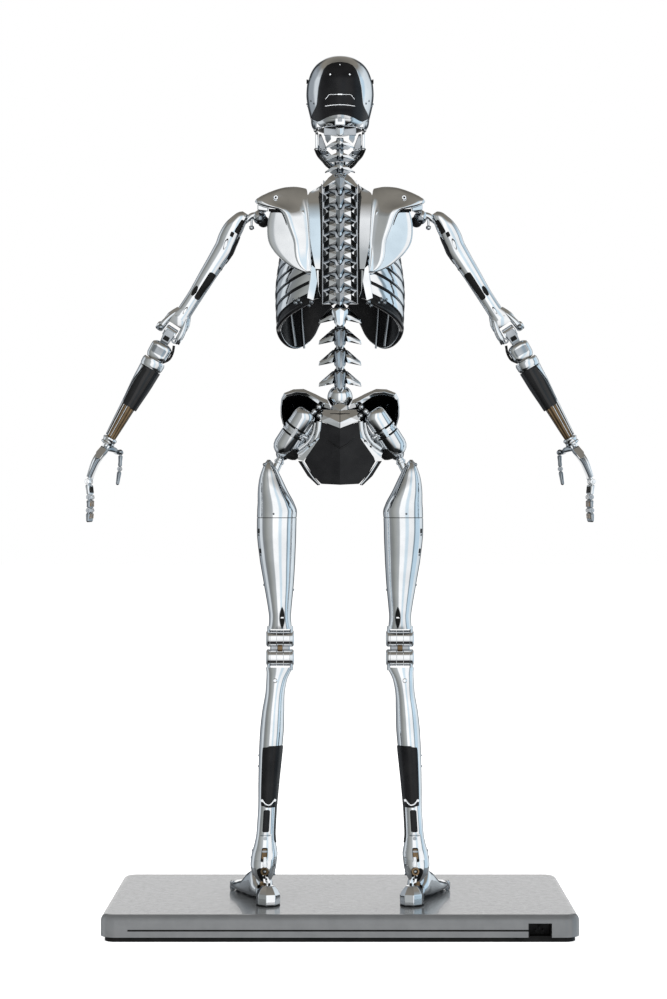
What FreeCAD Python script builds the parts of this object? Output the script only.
"""Life-size chromed humanoid robot skeleton standing on a flat base.

Frame: millimetres, +Z up, origin at the bottom centre of the base. The robot faces -Y,
so its left side is +X.
Each function below makes one sub-part for the left side or the middle, and the right-hand
parts are mirror images.
"""
import FreeCAD
import Part
import math
import os

V = FreeCAD.Vector
X_AXIS = V(1, 0, 0)
Y_AXIS = V(0, 1, 0)
Z_AXIS = V(0, 0, 1)
RING_POINTS = 16

# ---- driving dimensions -------------------------------------------------
BASE_LENGTH = 950.0
BASE_WIDTH = 530.0
BASE_TOP = 54.0
TRAY_HEIGHT = 10.0
BASE_CORNER = 30.0
BASE_EDGE = 14.0
BASE_WALL = 5.0

ANKLE = V(155, 112, 114)
KNEE_LOW = V(123, 75, 551)
KNEE_HIGH = V(123, 75, 590)
HIP = V(117, 75, 970)
SACRUM_BALL = V(0, 100, 1084)
LUMBAR_LEVELS = (1138.0, 1181.0, 1224.0, 1267.0)
SPINE_Y = 100.0
NECK_LEVELS = (1541.0, 1568.0, 1595.0)
NECK_Y = 92.0
HEAD_PIVOT = V(0, 82, 1622)
SKULL_CENTRE = V(0, 52, 1710)
SHOULDER = V(164, 88, 1452)
ARM_TOP = V(195, 88, 1452)
ELBOW = V(348, 80, 1218)
WRIST = V(480, 76, 986)
KNUCKLE = V(516, 76, 912)
THUMB_ROOT = V(455, 28, 973)

AXLE_R = 5.0
RUNNING_GAP = 0.05
SHELL_WALL = 3.0
KNEE_BARREL_R = 18.3
KNEE_CENTRE_WIDTH = 14.0
KNEE_BARREL_WIDTH = 12.5
KNEE_EAR = 8.5
FOOT_TURN_OUT = 14.0
HEEL = V(146, 146, BASE_TOP)
FINGER_R = 5.5
FINGER_SPREAD = (-29.0, -10.0, 9.0, 27.0)
PHALANX = (32.0, 27.0, 24.0)


# ---- helpers ------------------------------------------------------------
def unit(vector):
    return V(vector).normalize()


def ring_points(centre, across, depth, a, b, power, count):
    points = []
    for i in range(count):
        t = 2 * math.pi * i / count
        c, s = math.cos(t), math.sin(t)
        u = a * math.copysign(abs(c) ** (2 / power), c)
        w = b * math.copysign(abs(s) ** (2 / power), s)
        points.append(centre + across * u + depth * w)
    return points


def ring(centre, across, depth, a, b, power=2.0):
    """Closed smooth wire: a superellipse of half-widths a along across and b along depth."""
    curve = Part.BSplineCurve()
    points = ring_points(centre, across, depth, a, b, power, RING_POINTS)
    curve.interpolate(Points=points, PeriodicFlag=True)
    return Part.Wire([curve.toShape()])


def loft(rings):
    return Part.makeLoft(rings, True, False)


def upright(sections, power=2.0, shrink=0.0):
    """Loft of level rings; each section is (z, x centre, y centre, half x, half y)."""
    return loft([ring(V(x, y, z),
        X_AXIS, Y_AXIS, a - shrink, b - shrink, power) for z, x, y, a, b in sections])


def along(start, direction, out, sections, power=2.0, shrink=0.0):
    """Loft of rings square to direction; each section is (distance, offset along out, half out,
    half depth)."""
    depth = direction.cross(out)
    rings = []
    for t, offset, a, b in sections:
        rings.append(ring(start + direction * t + out * offset, out, depth, a - shrink, b - shrink,
            power))
    return loft(rings)


def rod(start, end, radius):
    axis = end - start
    return Part.makeCylinder(radius, axis.Length, start, axis)


def ball(centre, radius):
    return Part.makeSphere(radius, centre)


def capsule(start, end, radius):
    return rod(start, end, radius).fuse([ball(start, radius), ball(end, radius)]).removeSplitter()


def block(low, high):
    size = V(high) - V(low)
    return Part.makeBox(size.x, size.y, size.z, V(low))


def ellipsoid(centre, rx, ry, rz):
    stretch = FreeCAD.Matrix()
    stretch.scale(rx, ry, rz)
    stretch.move(centre)
    return Part.makeSphere(1.0).transformGeometry(stretch)


def prism(points, travel):
    """Straight-sided outline swept along travel."""
    wire = Part.makePolygon([V(p) for p in points] + [V(points[0])])
    return Part.Face(wire).extrude(V(travel))


def rounded_box(low, high, radius, direction):
    """Box whose edges along direction are rounded."""
    solid = block(low, high)
    edges = [e for e in solid.Edges if abs(unit(e.tangentAt(e.FirstParameter)).dot(direction)) > 0.99]
    return solid.makeFillet(radius, edges)


def mirrored(shape):
    return shape.mirror(V(0, 0, 0), X_AXIS)


def solids_of(shape):
    return list(shape.Solids)


def save(name, *shapes):
    solids = [s for shape in shapes for s in solids_of(shape)]
    Part.makeCompound(solids).exportStep(f"parts/{name}.step")
    print(name, len(solids), all(s.isValid() for s in solids), round(sum(s.Volume for s in solids)))


def save_pair(name, *shapes):
    save(name + "_left", *shapes)
    save(name + "_right", *[mirrored(s) for s in shapes])


# ---- base ---------------------------------------------------------------
SOCKET_X = (-418.5, -372.0)
SOCKET_TOP = 38.0
SLOT_X_END = 420.0
SLOT_Z = (22.0, 25.5)
SLOT_DEPTH = 3.0


def slab(inset, z0, z1, corner):
    half_x = BASE_LENGTH / 2 - inset
    half_y = BASE_WIDTH / 2 - inset
    return rounded_box((-half_x, -half_y, z0), (half_x, half_y, z1), corner, Z_AXIS)


def base_cover():
    outer = slab(0, TRAY_HEIGHT, BASE_TOP, BASE_CORNER)
    top_edges = [e for e in outer.Edges if e.BoundBox.ZMin > BASE_TOP - 0.01]
    outer = outer.makeFillet(BASE_EDGE, top_edges)
    inner = slab(BASE_WALL, TRAY_HEIGHT, BASE_TOP - BASE_WALL, BASE_CORNER - BASE_WALL)
    back = BASE_WIDTH / 2
    notch = block((SOCKET_X[0], back - 2 * BASE_WALL, TRAY_HEIGHT), (SOCKET_X[1], back + 1, SOCKET_TOP))
    groove = block((SOCKET_X[1] - 1, back - SLOT_DEPTH, SLOT_Z[0]), (SLOT_X_END, back + 1, SLOT_Z[1]))
    return outer.cut([inner, notch, groove])


def base_tray():
    return slab(8, 0, TRAY_HEIGHT, BASE_CORNER - 8)


def power_unit():
    """Mains inlet in its recess, with the supply and the controller board inside the base."""
    inside = BASE_WIDTH / 2 - BASE_WALL
    housing = block((SOCKET_X[0] - 3, inside - 60, TRAY_HEIGHT),
        (SOCKET_X[1] + 3, inside, SOCKET_TOP + 3))
    recess = block((SOCKET_X[0] + 2, inside - 24, TRAY_HEIGHT + 2),
        (SOCKET_X[1] - 2, inside, SOCKET_TOP - 1))
    housing = housing.cut(recess)
    middle = (SOCKET_X[0] + SOCKET_X[1]) / 2
    blades = []
    for dx, z in ((-7, 21), (0, 27), (7, 21)):
        blades.append(block((middle + dx - 1, inside - 24, z - 2),
            (middle + dx + 1, inside - 12, z + 2)))
    supply = rounded_box((-330, 60, TRAY_HEIGHT), (-150, 160, TRAY_HEIGHT + 32), 4, Z_AXIS)
    board = block((-110, 60, TRAY_HEIGHT + 8), (70, 160, TRAY_HEIGHT + 10))
    posts = []
    for x in (-104, 64):
        for y in (66, 154):
            posts.append(rod(V(x, y, TRAY_HEIGHT), V(x, y, TRAY_HEIGHT + 8), 3))
    return [housing] + blades + [supply, board] + posts


# ---- foot and ankle -----------------------------------------------------
INSTEP = (
    (-40, 22, 22, 14),
    (-62, 30, 26, 24),
    (-80, 34, 27, 32),
    (-102, 27, 31, 26),
    (-135, 18, 35, 17.5),
    (-170, 13.5, 38, 13),
    (-205, 11.5, 33, 11),
    (-222, 10, 21, 8),
)


def in_foot_frame(shape):
    """From a foot pointing along -Y with its heel at the origin to its place on the base."""
    moved = shape.copy()
    moved.rotate(V(0, 0, 0), Z_AXIS, FOOT_TURN_OUT)
    moved.translate(HEEL)
    return moved


def foot():
    rings = [ring(V(0, y, z), X_AXIS, Z_AXIS, a, b, 2.6) for y, z, a, b in INSTEP]
    sole_cut = block((-60, -260, -20), (60, 60, 0))
    instep = in_foot_frame(loft(rings).cut(sole_cut))
    tongue_low = block((ANKLE.x - 8, ANKLE.y - 12, BASE_TOP + 18), (ANKLE.x + 8, ANKLE.y + 12, ANKLE.z))
    eye = rod(V(ANKLE.x - 8, ANKLE.y, ANKLE.z), V(ANKLE.x + 8, ANKLE.y, ANKLE.z), 12)
    bore = rod(V(ANKLE.x - 40, ANKLE.y, ANKLE.z), V(ANKLE.x + 40, ANKLE.y, ANKLE.z), AXLE_R)
    body = instep.fuse([tongue_low, eye]).cut(bore).removeSplitter()
    heel_rings = [(0, 21, 23), (3, 23, 26), (22, 23.5, 26), (32, 19, 21), (40, 12, 13)]
    heel = loft([ring(V(0, 2, z), X_AXIS, Y_AXIS, a, b, 3.2) for z, a, b in heel_rings])
    heel = in_foot_frame(heel).cut(body)
    clevis = rounded_box((136, 136, BASE_TOP + 38), (146, 148, BASE_TOP + 53), 3, X_AXIS)
    return [body, heel, clevis.cut(heel), ankle_axle()]


def ankle_axle():
    return rod(V(ANKLE.x - 23, ANKLE.y, ANKLE.z), V(ANKLE.x + 23, ANKLE.y, ANKLE.z), AXLE_R)


# ---- shin ---------------------------------------------------------------
SHIN = (
    (536, 123, 75, 28, 18),
    (520, 127, 76, 23, 20),
    (481, 133, 80, 20, 24),
    (440, 137, 84, 23, 30),
    (401, 139.5, 86, 24.7, 34),
    (366, 142, 88, 23.7, 33),
    (292, 146.6, 92, 21, 27),
    (241, 149, 96, 19, 23),
    (196, 151.5, 101, 19, 21.5),
    (151, 154, 108, 26.5, 25),
    (133, 155, 111, 26.5, 25),
    (114, 155, 112, 21, 20),
    (98, 155, 112, 14, 12),
)
CALF_TOP = 372.0
CALF_STEP = 246.0
CALF_END = 200.0
CALF_GAP = 0.4


def knee_ears(pivot, reach):
    """Two discs either side of the knee barrels, each drawn out towards reach."""
    solids = []
    inner = KNEE_CENTRE_WIDTH / 2 + KNEE_BARREL_WIDTH + 0.5
    for side in (-1, 1):
        x0 = pivot.x + side * inner
        x1 = pivot.x + side * (inner + KNEE_EAR)
        disc = rod(V(x0, pivot.y, pivot.z), V(x1, pivot.y, pivot.z), KNEE_BARREL_R)
        z_low, z_high = sorted((pivot.z, reach))
        arm = block((min(x0, x1), pivot.y - 12, z_low), (max(x0, x1), pivot.y + 12, z_high))
        solids.append(disc.fuse(arm))
    return solids


def knee_bore(pivot, radius):
    return rod(V(pivot.x - 60, pivot.y, pivot.z), V(pivot.x + 60, pivot.y, pivot.z), radius)


def knee_room(pivot):
    """The round space that the barrels turn in, between the ears."""
    half = KNEE_CENTRE_WIDTH / 2 + KNEE_BARREL_WIDTH + 0.5
    return rod(V(pivot.x - half, pivot.y, pivot.z), V(pivot.x + half, pivot.y, pivot.z),
        KNEE_BARREL_R + 1.5)


def shin_skin():
    outer = upright(SHIN)
    inner = upright(SHIN[2:9], shrink=SHELL_WALL)
    skin = outer.fuse(knee_ears(KNEE_LOW, 520)).cut([inner, knee_room(KNEE_LOW)])
    fork = block((ANKLE.x - 8.4, 60, 60), (ANKLE.x + 8.4, 160, 130))
    bores = [knee_bore(KNEE_LOW, AXLE_R + RUNNING_GAP), knee_bore(ANKLE, AXLE_R + RUNNING_GAP)]
    rod_slot = block((ANKLE.x - 8, 116, 138), (ANKLE.x + 5, 150, 168))
    return skin.cut([fork, rod_slot] + bores)


def calf_region(gap):
    upper = block((60, 86, CALF_STEP - gap), (159 + gap, 160, CALF_TOP + gap))
    inner_side = block((60, 60, CALF_STEP - gap), (137 + gap, 100, CALF_TOP + gap))
    lower = block((144 - gap, 100, CALF_END - gap), (157 + gap, 160, CALF_STEP + 1))
    return upper.fuse([inner_side, lower]).removeSplitter()


def push_rod_end():
    """Eye of the ankle push rod, hanging out of the slot at the back of the shin."""
    centre = V(ANKLE.x - 3, 140, 128)
    eye = rod(centre + V(-5, 0, 0), centre + V(5, 0, 0), 8).cut(rod(centre + V(-6, 0, 0),
        centre + V(6, 0, 0), 4))
    stem = rod(centre + V(0, -2, 7.5), V(ANKLE.x - 3, 127, 160), 3.5)
    return eye.fuse(stem)


def shin():
    skin = shin_skin()
    body = skin.cut(calf_region(0))
    main = max(body.Solids, key=lambda s: s.Volume)
    rod_end = push_rod_end().cut(main)
    rod_end = max(rod_end.Solids, key=lambda s: s.Volume)
    return [main, rod_end], skin.common(calf_region(-CALF_GAP))


# ---- knee link ----------------------------------------------------------
def dogbone(x0, x1, web):
    """Two barrel slices joined by a web, both bored for the axles."""
    low = rod(V(x0, KNEE_LOW.y, KNEE_LOW.z), V(x1, KNEE_LOW.y, KNEE_LOW.z), KNEE_BARREL_R)
    high = rod(V(x0, KNEE_HIGH.y, KNEE_HIGH.z), V(x1, KNEE_HIGH.y, KNEE_HIGH.z), KNEE_BARREL_R)
    bar = block((x0, KNEE_LOW.y - web, KNEE_LOW.z), (x1, KNEE_LOW.y + web, KNEE_HIGH.z))
    return low.fuse([high, bar]).cut([knee_bore(KNEE_LOW, AXLE_R), knee_bore(KNEE_HIGH, AXLE_R)])


def knee_link():
    half = KNEE_CENTRE_WIDTH / 2
    link = dogbone(KNEE_LOW.x - half, KNEE_LOW.x + half, 12)
    reach = half + KNEE_BARREL_WIDTH + 0.5 + KNEE_EAR
    axles = [rod(V(p.x - reach, p.y, p.z), V(p.x + reach, p.y, p.z),
        AXLE_R) for p in (KNEE_LOW, KNEE_HIGH)]
    return [link] + axles


def knee_barrels():
    half = KNEE_CENTRE_WIDTH / 2
    barrels = []
    for side in (-1, 1):
        x0, x1 = sorted((KNEE_LOW.x + side * half, KNEE_LOW.x + side * (half + KNEE_BARREL_WIDTH)))
        barrels.append(dogbone(x0, x1, 9))
    return barrels


# ---- thigh --------------------------------------------------------------
THIGH = (
    (834, 130, 74, 41, 45),
    (809, 130.5, 72, 40.7, 46),
    (756, 129, 69, 37.2, 45),
    (707, 126, 69, 31.9, 41),
    (649, 123.7, 72, 24.5, 33),
    (612, 123, 75, 22, 24),
)
THIGH_CAP = (
    (956, 145, 82, 5, 8),
    (936, 143, 81, 15, 19),
    (918, 143, 79, 23.5, 27),
    (894, 138, 78, 31, 35),
    (868, 133, 76, 37.5, 41),
    (850, 130, 75, 41, 44),
    (835, 130, 74, 41, 45),
)
THIGH_SLOT_Z = 633.0


def thigh_shell():
    outer = upright(THIGH, 2.2)
    inner = upright(THIGH[:5], 2.2, SHELL_WALL)
    shell = outer.fuse(knee_ears(KNEE_HIGH, 625)).cut([inner.common(block((0, 0, 640),
        (300, 200, 831))), knee_room(KNEE_HIGH)])
    slot = ellipsoid(V(118, 110, THIGH_SLOT_Z), 6.5, 24, 22.5)
    return shell.cut([slot, knee_bore(KNEE_HIGH, AXLE_R + RUNNING_GAP)])


def thigh_cap():
    outer = upright(THIGH_CAP, 2.2)
    inner = upright(THIGH_CAP[3:], 2.2, SHELL_WALL + 1)
    neck_foot = V(136, 79, 928)
    neck = rod(HIP, neck_foot, 8.5).fuse(ball(HIP, 13)).removeSplitter()
    shell = outer.cut([inner, neck])
    return [max(shell.Solids, key=lambda s: s.Volume), neck]


# ---- pelvis -------------------------------------------------------------
WING_OUTLINE = ((30, 1068), (52, 1090), (76, 1101), (101, 1099), (116, 1089), (122, 1066),
    (120, 1036), (108, 1014), (80, 1012), (50, 1034))
WING_MIDDLE = V(80, 0, 1056)
WING_STEPS = ((112, 1.0), (85, 0.97), (50, 0.88), (15, 0.70), (-8, 0.42))


def wing_bowl(shrink, front):
    rings = []
    for y, scale in WING_STEPS:
        points = []
        for x, z in WING_OUTLINE:
            offset = V(x - WING_MIDDLE.x, 0, z - WING_MIDDLE.z)
            offset = offset * (scale * max(offset.Length - shrink, 1) / offset.Length)
            points.append(V(WING_MIDDLE.x + offset.x, y + front, WING_MIDDLE.z + offset.z))
        curve = Part.BSplineCurve()
        curve.interpolate(Points=points, PeriodicFlag=True)
        rings.append(Part.Wire([curve.toShape()]))
    return loft(rings)


def iliac_wing():
    bowl = wing_bowl(0, 0).cut(wing_bowl(7, 9))
    return max(bowl.Solids, key=lambda s: s.Volume)


def hip_actuator():
    """Hip drive: a round-ended motor body with a clamp ring, its socket at the hip ball,
    and a second drive beside it."""
    top = V(69, 118, 1051)
    axis = unit(HIP - top)
    body = capsule(top, top + axis * 64, 18.5)
    clamp = rod(top + axis * 30, top + axis * 38, 21)
    socket = rod(top + axis * 64, HIP + axis * 2, 19)
    casing = body.fuse([clamp, socket])
    side_top = V(52, 78, 1032)
    side_end = V(92, 66, 972)
    side_axis = unit(side_end - side_top)
    side = rod(side_top, side_end, 15)
    boot = rod(side_end, side_end + side_axis * 9, 17)
    side = side.cut(casing)
    side = max(side.Solids, key=lambda s: s.Volume)
    boot = boot.cut([casing, ball(HIP, 15)])
    return [casing.cut(ball(HIP, 13.5)), side, boot]


SHIELD = ((-39, 1026), (39, 1026), (44, 1000), (74, 948), (40, 906), (-40, 906), (-74, 948),
    (-44, 1000))
SHIELD_R = 150.0
SHIELD_Y = 136.0


def curved_plate(outline, thickness, surface_y):
    """Outline cut from an upright round wall whose back face touches surface_y on the centre line."""
    centre = V(0, surface_y - SHIELD_R, 860)
    wall = Part.makeCylinder(SHIELD_R, 300, centre).cut(Part.makeCylinder(SHIELD_R - thickness, 300,
        centre))
    return wall.common(prism([(x, 20, z) for x, z in outline], (0, 200, 0)))


def sacrum_shield():
    return curved_plate(SHIELD, 6, SHIELD_Y)


def pelvis_frame(parts):
    """Spine ball, sacral bracket, side rails round the shield,
    and the cross beam that carries the hip drives."""
    ball_top = ball(SACRUM_BALL, 25)
    stem = rod(V(0, SACRUM_BALL.y, 1030), V(0, SACRUM_BALL.y, 1070), 16)
    bracket = prism([(-47, 112, 1058), (-20, 112, 1066), (20, 112, 1066), (47, 112, 1058),
        (44, 112, 1034), (0, 112, 1021), (-44, 112, 1034)], (0, 24, 0))
    beam = block((-62, 70, 1024), (62, 112, 1052))
    frame = ball_top.fuse([stem, bracket, beam])
    for side in (-1, 1):
        outline = [(40, 1030), (47, 1030), (54, 1003), (85, 949), (44, 900), (39, 905.5),
            (74.6, 948), (44.6, 1000)]
        rail = curved_plate([(side * x, z) for x, z in outline], 22, SHIELD_Y + 2)
        frame = frame.fuse(rail)
    frame = frame.cut(parts)
    return max(frame.Solids, key=lambda s: s.Volume)


# ---- spine --------------------------------------------------------------
def gull_wing(z, span, chord, drop, y):
    """Transverse process: both wings of a vertebra, swept down and out to a point."""
    outline = [(0, z + chord * 0.55), (span * 0.34, z + chord * 0.5), (span, z - drop),
        (span * 0.94, z - drop - 4)]
    outline += [(span * 0.5, z - drop * 0.55 - 3), (0, z - drop * 0.35)]
    left = [(x, y, zz) for x, zz in outline]
    right = [(-x, y, zz) for x, zz in reversed(outline)]
    return prism(left + right[1:-1], (0, 12, 0))


def spine_shield(z_top, z_low, half, y):
    """Spinous process: a shield that narrows downwards, leaning out at its foot."""
    outline = [(-half * 0.8, z_top), (half * 0.8, z_top), (half, z_top - 10), (half * 0.35, z_low),
        (-half * 0.35, z_low), (-half, z_top - 10)]
    return prism([(x, y, z) for x, z in outline], (0, 9, 0))


def vertebra(z0, z1, y, hub_r, span, shield, socket_r, ball_r, is_top):
    """One moving vertebra between the joint levels z0 and z1: socket below, ball above."""
    hub = Part.makeCone(hub_r, hub_r * 0.8, z1 - z0 - 14, V(0, y, z0 + 3))
    solid = hub.fuse(gull_wing(z0 + 20, span, 20, 12, y + 2))
    web = block((-4, y, z0 + 6), (4, y + 30, z0 + 28))
    solid = solid.fuse([web, spine_shield(z0 + 34, z0 + 34 - shield, 15, y + 27)])
    if not is_top:
        neck = rod(V(0, y, z1 - 14), V(0, y, z1 - 4), ball_r * 0.55)
        solid = solid.fuse([neck, ball(V(0, y, z1), ball_r)])
    return solid.cut(ball(V(0, y, z0), socket_r)).removeSplitter()


def lumbar(index):
    levels = (SACRUM_BALL.z,) + LUMBAR_LEVELS
    z0, z1 = levels[index], levels[index + 1]
    if index > 0:
        return vertebra(z0, z1, SPINE_Y, 17, 44, 38, 9.85, 9.5, False)
    lowest = vertebra(z0 + 11, z1, SPINE_Y, 17, 44, 15, 1, 9.5, False)
    return lowest.cut(ball(SACRUM_BALL, 25.35))


THORACIC_COUNT = 9
THORACIC_LOW = 1271.0
THORACIC_PITCH = 28.6


def thoracic_spine():
    """Nine fixed vertebrae, each with its hub,
    raised wings and spinous shield; the lowest one takes the lumbar ball."""
    solids = []
    for i in range(THORACIC_COUNT):
        z = THORACIC_LOW + THORACIC_PITCH * i
        y = SPINE_Y + 8
        hub = Part.makeCone(17, 14.5, THORACIC_PITCH - 1, V(0, y, z + 0.5))
        wings = gull_wing(z + 12, 35, 16, 9, y + 6)
        web = block((-3.5, y + 8, z + 3), (3.5, y + 28, z + 22))
        shield = spine_shield(z + 24, z - 4, 10, y + 27)
        solid = hub.fuse([wings, web, shield])
        if i == 0:
            solid = solid.cut(ball(V(0, SPINE_Y, LUMBAR_LEVELS[-1]), 9.85))
        if i == THORACIC_COUNT - 1:
            top = V(0, NECK_Y, NECK_LEVELS[0])
            solid = solid.fuse([rod(V(0, NECK_Y + 6, z + 20), top, 4.2), ball(top, 7)])
        solids.append(solid.removeSplitter())
    return solids


def neck(index):
    levels = NECK_LEVELS + (HEAD_PIVOT.z,)
    y = NECK_Y - 3.3 * index
    z0, z1 = levels[index], levels[index + 1]
    hub = Part.makeCone(13, 10.5, z1 - z0 - 10, V(0, y, z0 + 2))
    wings = gull_wing(z0 + 13, 29, 13, 8, y + 3)
    web = block((-3, y, z0 + 3), (3, y + 20, z0 + 16))
    tail = spine_shield(z0 + 17, z0 + 1, 7, y + 18)
    top = V(0, y - 3.3, z1)
    solid = hub.fuse([wings, web, tail, rod(V(0, y - 1, z0 + 12), top, 4.2), ball(top, 7)])
    return solid.cut(ball(V(0, y, z0), 7.35)).removeSplitter()


# ---- rib cage -----------------------------------------------------------
RIBS = (
    (1508, 0, 40, 62, 62),
    (1470, 0, 34, 92, 80),
    (1420, 0, 26, 114, 96),
    (1360, 0, 20, 128, 106),
    (1300, 0, 16, 134, 111),
    (1240, 0, 10, 132, 112),
    (1176, 0, 2, 122, 106),
)
RIB_WALL = 7.0
RIB_GAP = 8.0


def rib_slots():
    """Cutters for the gaps between ribs; they stop at an upright strut on each side."""
    slots = []
    strut = block((100, 8, 1100), (170, 24, 1600))
    for side in (-1, 1):
        for i in range(6):
            cutter = block((0, -150, 0), (170, 150, RIB_GAP))
            cutter = cutter.cut(block((-1, 88, -1), (46, 151, RIB_GAP + 1)))
            cutter = cutter.cut(block((-1, -151, -1), (40, 20, RIB_GAP + 1)))
            cutter.rotate(V(0, 0, 0), Y_AXIS, 27)
            cutter.rotate(V(0, 110, 0), X_AXIS, 10)
            cutter.translate(V(0, 0, 1488 - 36 * i))
            cutter = cutter.cut(strut)
            slots.append(cutter if side > 0 else mirrored(cutter))
    return slots


def rib_cage():
    """One piece: sloping ribs, the back plates they start from, side struts and the breastbone bar."""
    outer = upright(RIBS, 2.3)
    inner = upright(RIBS, 2.3, RIB_WALL)
    shell = outer.cut(inner)
    below_back = prism([(0, 160, 1296), (0, 20, 1216), (0, -40, 1160), (0, 160, 1100)], (200, 0, 0))
    edge = [(34, 1270), (60, 1215), (74, 1150)]
    notch = prism([(0, -200, 1330)] + [(x, -200, z) for x, z in edge]
                  + [(-x, -200, z) for x, z in reversed(edge)], (0, 200, 0))
    spine_room = block((-36, 90, 1150), (36, 200, 1530))
    cuts = [below_back, mirrored(below_back), notch, spine_room, block((-40, -200, 1490),
        (40, 90, 1530))]
    shell = shell.cut(cuts).cut(rib_slots())
    plates = [back_plate(), mirrored(back_plate())]
    shell = shell.Solids[0].fuse(shell.Solids[1:] + [breastbone_bar()] + plates)
    return max(shell.Solids, key=lambda s: s.Volume)


def back_plate():
    """Plate between the spine and the shoulder blade that the ribs start from."""
    outline = [(37, 1516), (66, 1499), (64, 1440), (58, 1380), (66, 1284), (54, 1280), (37, 1290)]
    return prism([(x, 112, z) for x, z in outline], (0, 16, 0))


def breastbone_bar():
    """Bar that ties the front ends of the ribs together."""
    return block((-30, -104, 1350), (30, -84, 1486))


# ---- shoulder -----------------------------------------------------------
SCAPULA = ((176, 1478), (150, 1498), (128, 1508), (100, 1513), (68, 1508), (63, 1470), (60, 1420),
    (58, 1334), (66, 1334), (98, 1346), (130, 1372), (146, 1398), (148, 1430), (140, 1462), (158, 1466))


def scapula():
    blade = prism([(x, 139, z) for x, z in SCAPULA], (0, 9, 0))
    ridge = prism([(64, 148, 1504), (120, 148, 1506), (150, 148, 1490), (112, 148, 1440),
        (92, 148, 1400), (66, 148, 1345)], (0, 7, 0))
    blade = blade.fuse(ridge)
    socket_arm = block((144, 96, 1470), (164, 139.5, 1480)).fuse(block((146, 80, 1466),
        (164, 100, 1480)))
    blade = blade.fuse(socket_arm).cut(ball(SHOULDER, 15))
    blade.rotate(V(60, 139, 1400), Z_AXIS, -6)
    return blade.cut(ball(SHOULDER, 14.35))


def clavicle():
    path = [V(14, -66, 1492), V(60, -62, 1512), V(110, -14, 1506), V(146, 60, 1490), V(150, 78, 1476)]
    bar = rod(path[0], path[1], 8)
    for a, b in zip(path[1:], path[2:]):
        bar = bar.fuse([rod(a, b, 8), ball(a, 8)])
    return bar.removeSplitter()


def sternum():
    outline = [(-26, 1496), (26, 1496), (20, 1440), (24, 1380), (12, 1340), (-12, 1340), (-24, 1380),
        (-20, 1440)]
    plate = prism([(x, -100, z) for x, z in outline], (0, 12, 0))
    plate.rotate(V(0, -100, 1340), X_AXIS, -10)
    return plate


ARM_AXIS = unit(ELBOW - ARM_TOP)
ARM_OUT = unit(V(-ARM_AXIS.z, 0, ARM_AXIS.x))
UPPER_ARM = (
    (-10, 3, 12, 10),
    (6, 7, 14, 14),
    (29, 8, 19, 17),
    (55, 5.3, 21.7, 18),
    (78, 1, 21, 18),
    (111, 0.5, 19, 17),
    (141, 0, 17.6, 16),
    (195, -1.3, 15.5, 15),
    (236, -1.5, 16.3, 15),
    (258, 0, 26, 16),
    (280, 0, 29, 16),
    (294, 0, 27, 12),
)
ELBOW_HUB = 13.0
ELBOW_GAP = 14.5


def shoulder_yoke():
    """Ball in the shoulder socket with a square stub that carries the arm's lift pin,
    and a tendon post below it."""
    head = ball(SHOULDER, 14)
    head.rotate(SHOULDER, Z_AXIS, 150)
    stub = block((SHOULDER.x + 4, SHOULDER.y - 5, SHOULDER.z - 6),
        (ARM_TOP.x - 5, SHOULDER.y + 5, SHOULDER.z + 6))
    eye = rod(ARM_TOP + V(0, -6, 0), ARM_TOP + V(0, 6, 0), 9)
    pin = rod(ARM_TOP + V(0, -16, 0), ARM_TOP + V(0, 16, 0), 3.5)
    post = block((179, 86, 1428), (183, 90, 1448))
    eye.rotate(ARM_TOP, Y_AXIS, 40)
    pin.rotate(ARM_TOP, Y_AXIS, 70)
    return head.fuse([stub, eye, pin, post])


def upper_arm():
    solid = along(ARM_TOP, ARM_AXIS, ARM_OUT, UPPER_ARM, 2.3)
    length = (ELBOW - ARM_TOP).Length
    gap = rod(ELBOW - ARM_OUT * ELBOW_GAP, ELBOW + ARM_OUT * ELBOW_GAP, 19)
    open_end = Part.makeBox(2 * ELBOW_GAP, 60, 40)
    place = FreeCAD.Placement(V(0, 0, 0), FreeCAD.Rotation(ARM_OUT, Y_AXIS, ARM_AXIS, "ZXY"))
    open_end.translate(V(-ELBOW_GAP, -30, 0))
    open_end.Placement = place.multiply(open_end.Placement)
    open_end.translate(ARM_TOP + ARM_AXIS * length)
    eye_room = rod(ARM_TOP + V(0, -6.5, 0), ARM_TOP + V(0, 6.5, 0), 13)
    stub_room = block((ARM_TOP.x - 40, ARM_TOP.y - 7, ARM_TOP.z - 40),
        (ARM_TOP.x + 4, ARM_TOP.y + 7, ARM_TOP.z + 30))
    pin_bore = rod(ARM_TOP + V(0, -30, 0), ARM_TOP + V(0, 30, 0), 3.5 + RUNNING_GAP)
    axle_bore = rod(ELBOW - ARM_OUT * 40, ELBOW + ARM_OUT * 40, AXLE_R + RUNNING_GAP)
    return solid.cut([gap, open_end, eye_room, stub_room, pin_bore, axle_bore])


FOREARM_AXIS = unit(WRIST - ELBOW)
FOREARM_OUT = unit(V(-FOREARM_AXIS.z, 0, FOREARM_AXIS.x))


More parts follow.
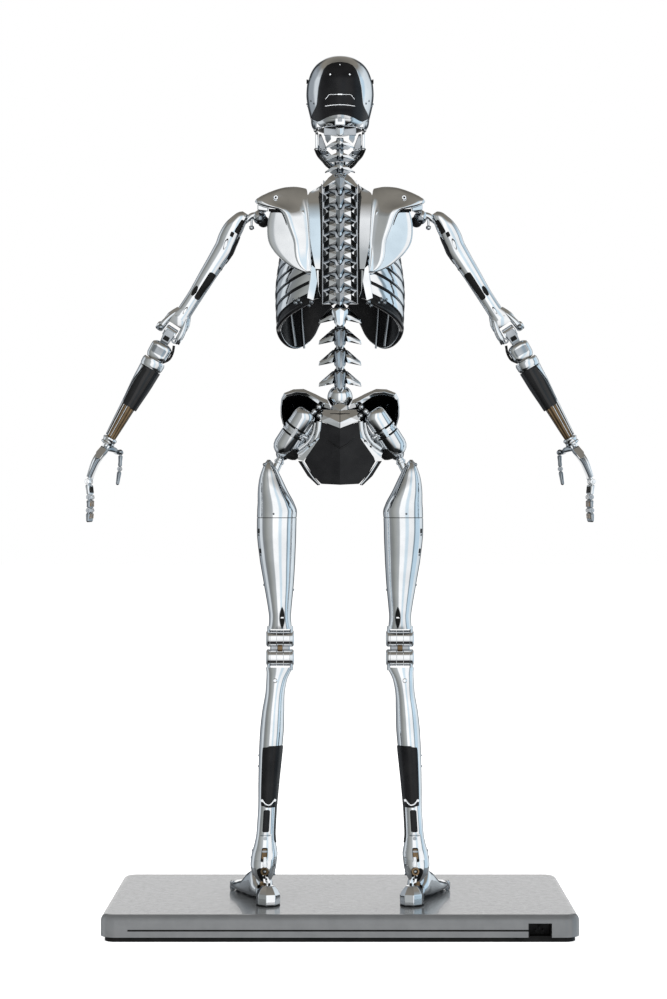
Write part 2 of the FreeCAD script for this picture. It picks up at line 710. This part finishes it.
def elbow_yoke():
    """Hub between the upper arm's ears, its axle, and the collar block that the forearm turns on."""
    hub = rod(ELBOW - ARM_OUT * 13.5, ELBOW + ARM_OUT * 13.5, ELBOW_HUB)
    axle = rod(ELBOW - ARM_OUT * 29, ELBOW + ARM_OUT * 29, AXLE_R)
    stalk = along(ELBOW, FOREARM_AXIS, FOREARM_OUT, ((6, 0, 12, 10), (22, 0, 13, 13),
        (34, 0, 17, 15)), 2.5)
    collar = along(ELBOW, FOREARM_AXIS, FOREARM_OUT, ((26, 0, 14, 14), (32, 0, 21, 19),
        (52, 0, 22.5, 21), (64, 0, 20, 19)), 3.0)
    spigot = rod(ELBOW + FOREARM_AXIS * 60, ELBOW + FOREARM_AXIS * 84, 10)
    return hub.fuse([axle, stalk, collar, spigot]).removeSplitter()


FOREARM = (
    (65, 0, 22, 21),
    (70, 0, 24.5, 23),
    (79, 0, 24, 22.5),
    (84, 0, 22.5, 21),
    (120, 0, 21, 20),
    (165, 0, 17.5, 17),
    (225, 0, 14, 14),
    (248, 0, 12.5, 13),
    (252, 0, 15, 15),
    (262, 0, 15, 15),
)
COVER_START = 88.0
COVER_END = 170.0


def forearm_region(gap):
    """Space of the black cover: the inner and rear quarter of the forearm."""
    size = COVER_END - COVER_START + 2 * gap
    piece = Part.makeBox(60, 60, size)
    piece.translate(V(-60 + 8 + gap, -8 - gap, COVER_START - gap))
    place = FreeCAD.Placement(V(0, 0, 0), FreeCAD.Rotation(FOREARM_OUT, Y_AXIS, FOREARM_AXIS, "ZXY"))
    piece.Placement = place.multiply(piece.Placement)
    piece.translate(ELBOW)
    return piece


def forearm():
    solid = along(ELBOW, FOREARM_AXIS, FOREARM_OUT, FOREARM, 2.2)
    bore = rod(ELBOW + FOREARM_AXIS * 60, ELBOW + FOREARM_AXIS * 84.5, 10 + RUNNING_GAP)
    wrist_room = rod(WRIST + V(0, -30, 0), WRIST + V(0, 30, 0), 8.5)
    solid = solid.cut([bore, wrist_room])
    inner = along(ELBOW, FOREARM_AXIS, FOREARM_OUT, [(t, o, a * 0.55, b * 0.55) for t, o, a,
        b in FOREARM[3:7]])
    solid = solid.cut(inner)
    pin = rod(WRIST + V(0, -13, 0), WRIST + V(0, 13, 0), 3.5)
    ears = [rod(WRIST + V(0, 9 * s, 0), WRIST + V(0, 13 * s, 0), 8) for s in (-1, 1)]
    necks = []
    for s in (-1, 1):
        neck_low = WRIST + V(0, 11 * s, 0)
        necks.append(rod(neck_low - FOREARM_AXIS * 14, neck_low, 2))
    solid = solid.fuse([pin] + ears + necks)
    cover = solid.common(forearm_region(-0.3))
    main = solid.cut(forearm_region(0))
    return max(main.Solids, key=lambda s: s.Volume), max(cover.Solids, key=lambda s: s.Volume)


# ---- hand ---------------------------------------------------------------
PALM_AXIS = unit(KNUCKLE - WRIST)
PALM_OUT = unit(V(-PALM_AXIS.z, 0, PALM_AXIS.x))


def palm():
    length = (KNUCKLE - WRIST).Length
    eye = rod(WRIST + V(0, -8.5, 0), WRIST + V(0, 8.5, 0), 8)
    eye = eye.cut(rod(WRIST + V(0, -20, 0), WRIST + V(0, 20, 0), 3.5 + RUNNING_GAP))
    heel_ring = ((9, 1, 6, 8), (18, 2, 6.5, 16), (34, 3, 6.5, 27), (length - 18, 2, 6, 33),
        (length - 9, 1, 5, 34))
    wires = []
    for t, offset, a, b in heel_ring:
        centre = WRIST + PALM_AXIS * t + PALM_OUT * offset
        points = ring_points(centre, PALM_OUT, PALM_AXIS.cross(PALM_OUT), a, b, 2.6, 24)
        wires.append(Part.makePolygon(points + points[:1]))
    plate = Part.makeLoft(wires, True, True)
    stalk = rod(WRIST + PALM_AXIS * 4, WRIST + PALM_AXIS * 14, 6).cut(rod(WRIST + V(0, -20, 0),
        WRIST + V(0, 20, 0), 3.5 + RUNNING_GAP))
    parts = [plate, stalk]
    for dy in FINGER_SPREAD:
        tip = KNUCKLE + V(0, dy, 0)
        parts.append(rod(tip + V(0, -3, 0), tip + V(0, 3, 0), FINGER_R))
        parts.append(rod(tip - PALM_AXIS * 13, tip - PALM_AXIS * 3, 3))
    bend = THUMB_ROOT + V(15, 0, 3)
    thumb_arm = rod(WRIST + PALM_AXIS * 20 + V(0, -14, 0), bend, 5)
    thumb_neck = rod(bend + V(3, 0, 0.6), THUMB_ROOT + V(3, 0, 0.6), 2.6)
    thumb_eye = rod(THUMB_ROOT + V(0, -3, 0), THUMB_ROOT + V(0, 3, 0), 6)
    parts += [thumb_arm, thumb_neck, thumb_eye]
    solid = eye.fuse(parts)
    bores = [rod(KNUCKLE + V(0, -60, 0), KNUCKLE + V(0, 60, 0), 2 + RUNNING_GAP)]
    bores.append(rod(THUMB_ROOT + V(0, -20, 0), THUMB_ROOT + V(0, 20, 0), 2 + RUNNING_GAP))
    return max(solid.cut(bores).Solids, key=lambda s: s.Volume)


FINGER_LEANS = (-0.10, 0.02, 0.06)


def finger_joints():
    """Knuckle, middle joint, end joint and tip of the fingers, in the plane of the arm."""
    joints = [V(KNUCKLE)]
    for length, lean in zip(PHALANX, FINGER_LEANS):
        joints.append(joints[-1] + V(math.sin(lean), 0, -math.cos(lean)) * length)
    return joints


def phalanx(start, end, last, radius=FINGER_R):
    """One finger bone: a fork with its pin at the start and, unless it is the last,
    a single eye at the end."""
    axis = unit(end - start)
    cheeks = []
    for s in (-1, 1):
        low = start + V(0, 3.3 * s, 0)
        high = start + V(0, 6.0 * s, 0)
        cheek = rod(low, high, radius)
        bar = rod(start + V(0, 5.1 * s, 0), start + V(0, 5.1 * s, 0) + axis * (radius + 5), 1.6)
        cheeks += [cheek, bar]
    pin = rod(start + V(0, -6, 0), start + V(0, 6, 0), 2)
    if last:
        shaft = Part.makeCone(radius, radius * 0.7, (end - start).Length - radius - 5,
            start + axis * (radius + 2), axis)
        shaft = shaft.fuse(ball(end - axis * 3, radius * 0.7))
    else:
        shaft = rod(start + axis * (radius + 2), end - axis * (radius + 1), radius * 0.9)
        tail = rod(end - axis * (radius + 3), end - axis * 2.5, 2.6)
        eye = rod(end + V(0, -3, 0), end + V(0, 3, 0), radius)
        shaft = shaft.fuse([tail, eye]).cut(rod(end + V(0, -9, 0), end + V(0, 9, 0), 2 + RUNNING_GAP))
    return shaft.fuse(cheeks + [pin])


def finger_row(index):
    joints = finger_joints()
    last = index == 2
    solids = []
    for dy in FINGER_SPREAD:
        offset = V(0, dy, 0)
        solids.append(phalanx(joints[index] + offset, joints[index + 1] + offset, last))
    return solids


THUMB_MIDDLE = V(457, 28, 939)
THUMB_TIP = V(462, 28, 906)


# ---- head ---------------------------------------------------------------
SKULL_R = (69.5, 97.0, 79.0)
SKULL_WALL = 4.0
REAR_PANEL = ((0, 1756), (20, 1752), (32, 1738), (40, 1705), (45, 1668), (58, 1645), (46, 1630),
    (20, 1637), (0, 1640))
FACE_PLANE_Y = 2.0


def both_halves(points, y):
    left = [(x, y, z) for x, z in points]
    right = [(-x, y, z) for x, z in reversed(points) if x > 0]
    return left + right


def head_outer(shrink):
    rx, ry, rz = SKULL_R
    dome = ellipsoid(SKULL_CENTRE, rx - shrink, ry - shrink, rz - shrink)
    return dome


def skull_parts():
    shell = head_outer(0).cut(head_outer(SKULL_WALL))
    panel_cut = prism(both_halves(REAR_PANEL, 70), (0, 120, 0))
    panel = shell.common(panel_cut)
    rest = shell.cut(prism(both_halves([(x + 0.4 if x else 0, z + (0.4 if z > 1700 else -0.4)) for x,
        z in REAR_PANEL], 70), (0, 120, 0)))
    floor = block((-100, -100, 1600), (100, 200, 1646))
    front = block((-100, -100, 1600), (100, FACE_PLANE_Y, 1762))
    skull = rest.cut([floor, front])
    neck_floor = block((-44, 30, 1642), (44, 120, 1646))
    collar = rod(V(0, HEAD_PIVOT.y, 1630), V(0, HEAD_PIVOT.y, 1644), 12)
    skull = skull.fuse([neck_floor, collar]).cut(ball(HEAD_PIVOT, 7.35)).cut(panel)
    mask = shell.common(block((-100, -100, 1628), (100, FACE_PLANE_Y - 0.5, 1761.5)))
    eyes = []
    for side in (-1, 1):
        eye_hole = rod(V(side * 27, -80, 1697), V(side * 27, 0, 1697), 13)
        mask = mask.cut(eye_hole)
        eyes.append(ball(V(side * 27, -16, 1697), 17).common(rod(V(side * 27, -60, 1697),
            V(side * 27, 0, 1697), 12.6)))
    nose = prism([(-4, -40, 1692), (4, -40, 1692), (11, -40, 1658), (-11, -40, 1658)], (0, -12, 0))
    mask = mask.fuse(nose.cut(head_outer(0)))
    mask = max(mask.Solids, key=lambda s: s.Volume)
    return max(skull.Solids, key=lambda s: s.Volume), panel, mask, eyes


JAW_LINE = ((49, 42, 1634), (49, 42, 1606), (48, 30, 1592), (40, 0, 1582), (25, -32, 1576),
    (0, -46, 1574))


def jaw():
    """Mandible: upright side plates on the jaw pin, running forward and in to the chin."""
    parts = []
    for a, b in zip(JAW_LINE, JAW_LINE[1:]):
        way = (V(b) - V(a)).normalize()
        out = way.cross(X_AXIS).cross(way) if abs(way.x) < 0.1 else V(-way.y, way.x, 0)
        out = unit(out) * 3
        rise = unit(way.cross(out)) * 8
        corners = [V(a) + out + rise, V(a) - out + rise, V(a) - out - rise, V(a) + out - rise]
        parts.append(prism(corners, V(b) - V(a)))
        parts.append(ball(V(b),
            8).common(prism([c - way * 9 for c in corners], V(b) - V(a) + way * 18)))
    plate = rounded_box((46, 26, 1604), (52, 54, 1646), 6, X_AXIS)
    half = plate.fuse(parts)
    return half.fuse(mirrored(half)).removeSplitter()


# ---- build --------------------------------------------------------------
def main():
    os.makedirs("parts", exist_ok=True)
    save("base_cover", base_cover())
    save("base_tray", base_tray())
    save("power_unit", *power_unit())
    save_pair("foot", *foot())
    shin_solids, calf = shin()
    save_pair("shin", *shin_solids)
    save_pair("calf_panel", calf)
    save_pair("knee_link", *knee_link())
    save_pair("knee_barrels", *knee_barrels())
    save_pair("thigh_shell", thigh_shell())
    save_pair("thigh_cap", *thigh_cap())
    wing, drives, shield = iliac_wing(), hip_actuator(), sacrum_shield()
    wing = wing.cut(drives)
    wing = max(wing.Solids, key=lambda s: s.Volume)
    pair = [wing, mirrored(wing)] + drives + [mirrored(s) for s in drives]
    frame = pelvis_frame(pair + [shield])
    save("pelvis_frame", frame)
    save("sacrum_shield", shield)
    save("iliac_wings", wing, mirrored(wing))
    save("hip_drives", *drives, *[mirrored(s) for s in drives])
    for i in range(4):
        save(f"lumbar_vertebra_{4 - i}", lumbar(i))
    column = thoracic_spine()
    save("thoracic_spine", *column)
    ribs = rib_cage().cut(column)
    save("rib_cage", ribs)
    blade = scapula().cut(ribs)
    blade = max(blade.Solids, key=lambda s: s.Volume)
    save_pair("scapula", blade)
    breastbone = max(sternum().cut(ribs).Solids, key=lambda s: s.Volume)
    girdle = [clavicle().cut([blade, ribs]), breastbone]
    save("shoulder_girdle", girdle[0], mirrored(girdle[0]), girdle[1])
    for i in range(3):
        save(f"neck_vertebra_{3 - i}", neck(i))
    skull, panel, mask, eyes = skull_parts()
    save("skull_shell", skull)
    save("rear_head_panel", panel)
    save("face_mask", mask)
    save("eye_lenses", *eyes)
    save("jaw", jaw())
    save_pair("shoulder_yoke", shoulder_yoke())
    save_pair("upper_arm", upper_arm())
    save_pair("elbow_yoke", elbow_yoke())
    shell, cover = forearm()
    save_pair("forearm_shell", shell)
    save_pair("forearm_cover", cover)
    save_pair("palm", palm())
    for i, name in enumerate(("fingers_near", "fingers_middle", "fingers_tip")):
        save_pair(name, *finger_row(i))
    save_pair("thumb_base", phalanx(THUMB_ROOT, THUMB_MIDDLE, False))
    save_pair("thumb_tip", phalanx(THUMB_MIDDLE, THUMB_TIP, True))


main()
